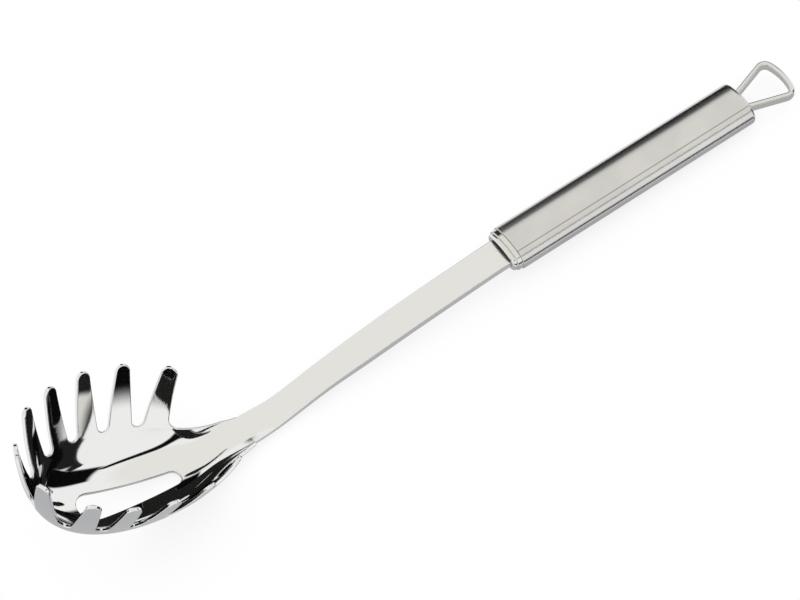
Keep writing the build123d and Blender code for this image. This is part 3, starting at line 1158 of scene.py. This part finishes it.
@dataclass
class Studio:
    """A white table in a white room, with the camera where the photograph was taken.

    The room is drawn by direction: pale walls and ceiling, a greyer table below, and the dark cards that
    a photographer stands round polished steel so that its shape shows. Bearings and heights are in
    degrees. Light that the steel has already turned twice meets a dimmer room, which stands in for all
    the dark things in a real studio that a bowl shows of itself.
    """

    # The camera, as it was fitted to the photograph: place, turn, lens and what it can see.
    camera_place: tuple[float, float, float] = (-0.19709, -0.45875, 0.80390)
    camera_turn: tuple[float, float, float] = (0.549335, 0.132597, -0.595681)
    lens: float = 117.0
    sensor: float = 36.0
    sight: tuple[float, float] = (0.01, 20.0)

    # The pale room. Each fade runs between two heights, from its third number to its fourth.
    room: str = "#F4F3F1"
    table: str = "#BCBDC0"
    table_fade: tuple[float, ...] = (-46.0, -20.0, 1.0, 0.0)
    ceiling: str = "#F6F4EF"
    ceiling_fade: tuple[float, ...] = (34.0, 42.0, 0.0, 1.0)

    # The dark cards, and what looks dim to light that the steel has already turned twice.
    card: str = "#0B0B0C"
    near_card: RoomPatch = RoomPatch(-36.0, -9.0, -26.0, 29.0, 2.0)
    far_card: RoomPatch = RoomPatch(30.0, 77.0, -6.0, 35.0, 2.5)
    dim_near_ceiling: RoomPatch = RoomPatch(-60.0, 56.0, 16.0, 60.0, 2.0)
    dim_far_wall: RoomPatch = RoomPatch(89.0, 126.0, 33.0, 55.0, 3.0)
    dim_above: tuple[float, ...] = (42.0, 47.0, 0.0, 1.0)
    dim_share: float = 0.985

    # The unlit floor beyond the table's edge, whose height falls with the square of the bearing.
    dark_floor: RoomPatch = RoomPatch(-132.0, -38.0, -50.0, 10.0, 4.0)
    floor_edge_start: float = -118.0
    floor_edge_span: float = 73.0
    floor_edge_height: float = 5.0
    floor_edge_fall: float = -30.0
    floor_edge_fades: tuple[tuple[float, ...], ...] = ((-5.0, 2.0, 1.0, 0.0), (-20.0, -14.0, 0.0, 1.0))

    # The seam in the near wall. Its heights, in degrees, are set at shares of the way between its ends.
    seam_ends: tuple[float, float] = (-108.0, -28.0)
    seam_fades: tuple[tuple[float, ...], ...] = ((-110.0, -104.0, 0.0, 1.0), (-30.0, -28.0, 1.0, 0.0))
    seam_half_widths: tuple[float, float] = (3.2, 2.4)
    seam_edge_shares: tuple[float, float] = (0.7, 1.3)
    seam_scale: float = 40.0
    seam_heights: tuple[tuple[float, float], ...] = (
        (0.0, 10.0),
        (0.1, 20.0),
        (0.225, 27.5),
        (0.41, 33.5),
        (0.6, 35.6),
        (0.8, 34.6),
        (0.93, 31.8),
        (1.0, 29.0),
    )

    # The table top, in metres, and the shade that it keeps under the tool.
    floor_half: float = 3.0
    floor_gap: float = 0.0004
    floor_colour: str = "#E6E6E6"
    floor_roughness: float = 0.9
    shadow_reach: float = 0.05
    shadow_fade: tuple[float, ...] = (0.0, 0.9, 0.84, 1.0)

    def build(self) -> None:
        """Make the camera, the room and the floor."""
        self.add_camera()
        self.add_room()
        self.add_floor()

    def add_camera(self) -> None:
        """Stand the camera where the photograph was taken from."""
        data = bpy.data.cameras.new("camera")
        data.lens, data.sensor_width = self.lens, self.sensor
        data.clip_start, data.clip_end = self.sight
        camera = bpy.data.objects.new("camera", data)
        camera.location, camera.rotation_euler = self.camera_place, self.camera_turn
        bpy.context.scene.collection.objects.link(camera)
        bpy.context.scene.camera = camera

    @staticmethod
    def seen(tree: Tree) -> Socket:
        """Tell the rays that show the backdrop itself from those that light the tool.

        Args:
            tree: the node tree of the room or of the floor.

        Returns:
            One for what the camera sees straight, in a mirror or through glass, and else zero.
        """
        rays = add_node(tree, "ShaderNodeLightPath").node.outputs
        seen = rays["Is Camera Ray"]
        for name in ("Is Transmission Ray", "Is Glossy Ray"):
            seen = add_node(tree, MATHS, GREATEST, [seen, rays[name]])
        return seen

    def add_room(self) -> None:
        """Draw the room round the tool, by direction."""
        world = bpy.data.worlds.new("white_room")
        world.use_nodes = True
        bpy.context.scene.world = world
        tree = world.node_tree
        direction = add_node(tree, "ShaderNodeTexCoord", output="Generated")
        parts = add_node(tree, "ShaderNodeSeparateXYZ", None, [direction]).node.outputs
        around = add_node(tree, MATHS, {"operation": "ARCTAN2"}, [parts["Y"], parts["X"]])
        around = add_node(tree, MATHS, DEGREES, [around])
        above = add_node(tree, MATHS, {"operation": "ARCSINE"}, [parts["Z"]])
        above = add_node(tree, MATHS, DEGREES, [above])
        mirrored = add_node(tree, "ShaderNodeLightPath", output="Is Glossy Ray")
        lit, shown = linear(self.room), linear("#FFFFFF")
        shown = add_node(tree, MIX, COLOURS, {0: self.seen(tree), 6: lit, 7: shown}, 2)
        shares = []
        for fade in (self.table_fade, self.ceiling_fade):
            shares.append(add_node(tree, RANGE, SMOOTH, [above, *fade]))
        shares.append(self.dark(tree, around, above))
        for share, colour in zip(shares, (self.table, self.ceiling, self.card)):
            share = add_node(tree, MATHS, TIMES, [share, mirrored])
            shown = add_node(tree, MIX, COLOURS, {0: share, 6: shown, 7: linear(colour)}, 2)
        tree.links.new(shown, tree.nodes["Background"].inputs["Color"])

    def dark(self, tree: Tree, around: Socket, above: Socket) -> Socket:
        """Gather all that is dark in the room.

        Args:
            tree: the world's node tree.
            around: the direction's bearing.
            above: its height above the horizon.

        Returns:
            How dark the room is in that direction, from zero to one.
        """
        bounces = add_node(tree, "ShaderNodeLightPath", output="Glossy Depth")
        twice = add_node(tree, MATHS, OVER, [bounces, 1.5])
        # What the steel has turned three times is dim in every direction.
        dim = add_node(tree, MATHS, OVER, [bounces, 2.5])
        dim_patches = (self.dim_near_ceiling, self.dim_far_wall)
        dim_parts = [add_node(tree, RANGE, SMOOTH, [above, *self.dim_above])]
        dim_parts += [patch.mask(tree, around, above) for patch in dim_patches]
        for part in dim_parts:
            dim = add_node(tree, MATHS, GREATEST, [dim, part])
        dark = add_node(tree, MATHS, TIMES, [twice, dim])
        dark = add_node(tree, MATHS, TIMES, [dark, self.dim_share])
        dark_parts = [patch.mask(tree, around, above) for patch in (self.near_card, self.far_card)]
        dark_parts += [self.seam(tree, around, above), self.unlit_floor(tree, around, above)]
        for part in dark_parts:
            dark = add_node(tree, MATHS, GREATEST, [dark, part])
        return dark

    def unlit_floor(self, tree: Tree, around: Socket, above: Socket) -> Socket:
        """Draw the unlit floor on the near side, beyond the table's edge, which falls to the right.

        Args:
            tree: the world's node tree.
            around: the direction's bearing.
            above: its height above the horizon.

        Returns:
            One on that floor and else zero.
        """
        share = add_node(tree, MATHS, LESS, [around, self.floor_edge_start])
        share = add_node(tree, MATHS, TIMES, [share, 1 / self.floor_edge_span])
        fall = add_node(tree, MATHS, TIMES, [share, share])
        line = [fall, self.floor_edge_fall, self.floor_edge_height]
        edge = add_node(tree, MATHS, {"operation": "MULTIPLY_ADD"}, line)
        over = add_node(tree, MATHS, LESS, [above, edge])
        level = self.dark_floor.mask(tree, around, above)
        for fade in self.floor_edge_fades:
            strip = add_node(tree, RANGE, SMOOTH, [over, *fade])
            level = add_node(tree, MATHS, TIMES, [level, strip])
        return level

    def seam(self, tree: Tree, around: Socket, above: Socket) -> Socket:
        """Draw the thin dark seam between two sheets of the room's near wall.

        Args:
            tree: the world's node tree.
            around: the direction's bearing.
            above: its height above the horizon.

        Returns:
            One on the seam and else zero.
        """
        left, right = self.seam_ends
        place = add_node(tree, RANGE, {"interpolation_type": "LINEAR"}, [around, left, right, 0.0, 1.0])
        height = add_node(tree, "ShaderNodeFloatCurve", None, {"Value": place})
        line = height.node.mapping.curves[0]
        for end, (share, level) in ((0, self.seam_heights[0]), (1, self.seam_heights[-1])):
            line.points[end].location = (share, level / self.seam_scale)
        for share, level in self.seam_heights[1:-1]:
            line.points.new(share, level / self.seam_scale)
        height.node.mapping.update()
        centre = add_node(tree, MATHS, TIMES, [height, self.seam_scale])
        off = add_node(tree, MATHS, LESS, [above, centre])
        off = add_node(tree, MATHS, SIZE_OF, [off])
        half_width = add_node(tree, RANGE, SMOOTH, [around, left, right, *self.seam_half_widths])
        off = add_node(tree, MATHS, {"operation": "DIVIDE"}, [off, half_width])
        band = add_node(tree, RANGE, SMOOTH, [off, *self.seam_edge_shares, 1.0, 0.0])
        for fade in self.seam_fades:
            end = add_node(tree, RANGE, SMOOTH, [around, *fade])
            band = add_node(tree, MATHS, TIMES, [band, end])
        return band

    def add_floor(self) -> None:
        """Lay the white laminate table top, which shows as white with a faint shade under the tool."""
        half = self.floor_half
        mesh = bpy.data.meshes.new("table_top")
        square = [(-half, -half, 0), (half, -half, 0), (half, half, 0), (-half, half, 0)]
        mesh.from_pydata(square, [], [(0, 1, 2, 3)])
        floor = bpy.data.objects.new("table_top", mesh)
        bpy.context.scene.collection.objects.link(floor)
        floor.location.z = -self.floor_gap
        floor.visible_glossy = False
        material = bpy.data.materials.new("white_laminate_table_top")
        material.use_nodes = True
        tree = material.node_tree
        shader = tree.nodes["Principled BSDF"]
        shader.inputs["Base Color"].default_value = linear(self.floor_colour)
        shader.inputs["Roughness"].default_value = self.floor_roughness
        # Painted shadow: the white glow that the camera sees is dimmed by ambient occlusion near the tool.
        inputs = {"Distance": self.shadow_reach}
        open_share = add_node(tree, "ShaderNodeAmbientOcclusion", {"samples": 12}, inputs, "AO")
        glow = add_node(tree, RANGE, SMOOTH, [open_share, *self.shadow_fade])
        white = add_node(tree, "ShaderNodeEmission", None, {"Color": linear("#FFFFFF"), "Strength": glow})
        mixed = add_node(tree, "ShaderNodeMixShader", None, [self.seen(tree), shader.outputs[0], white])
        tree.links.new(mixed, tree.nodes["Material Output"].inputs["Surface"])
        mesh.materials.append(material)


def corners(box: Any) -> list[list[float]]:
    """The two corners of a box as plain lists of numbers."""
    return [[float(value) for value in corner] for corner in box]


def main() -> None:
    """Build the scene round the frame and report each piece."""
    logging.basicConfig(level=logging.INFO, format="%(message)s")
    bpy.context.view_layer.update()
    bpy.context.scene.view_settings.view_transform = "Standard"
    Studio().build()
    pieces = [PressedHead().build(), *Grip().dress(frame["nodes"]), HangingLoop().build()]
    for piece in pieces:
        LOG.info("%s: %s, %d faces", piece.name, piece.active_material.name, len(piece.data.polygons))


if __name__ == "__main__":
    main()
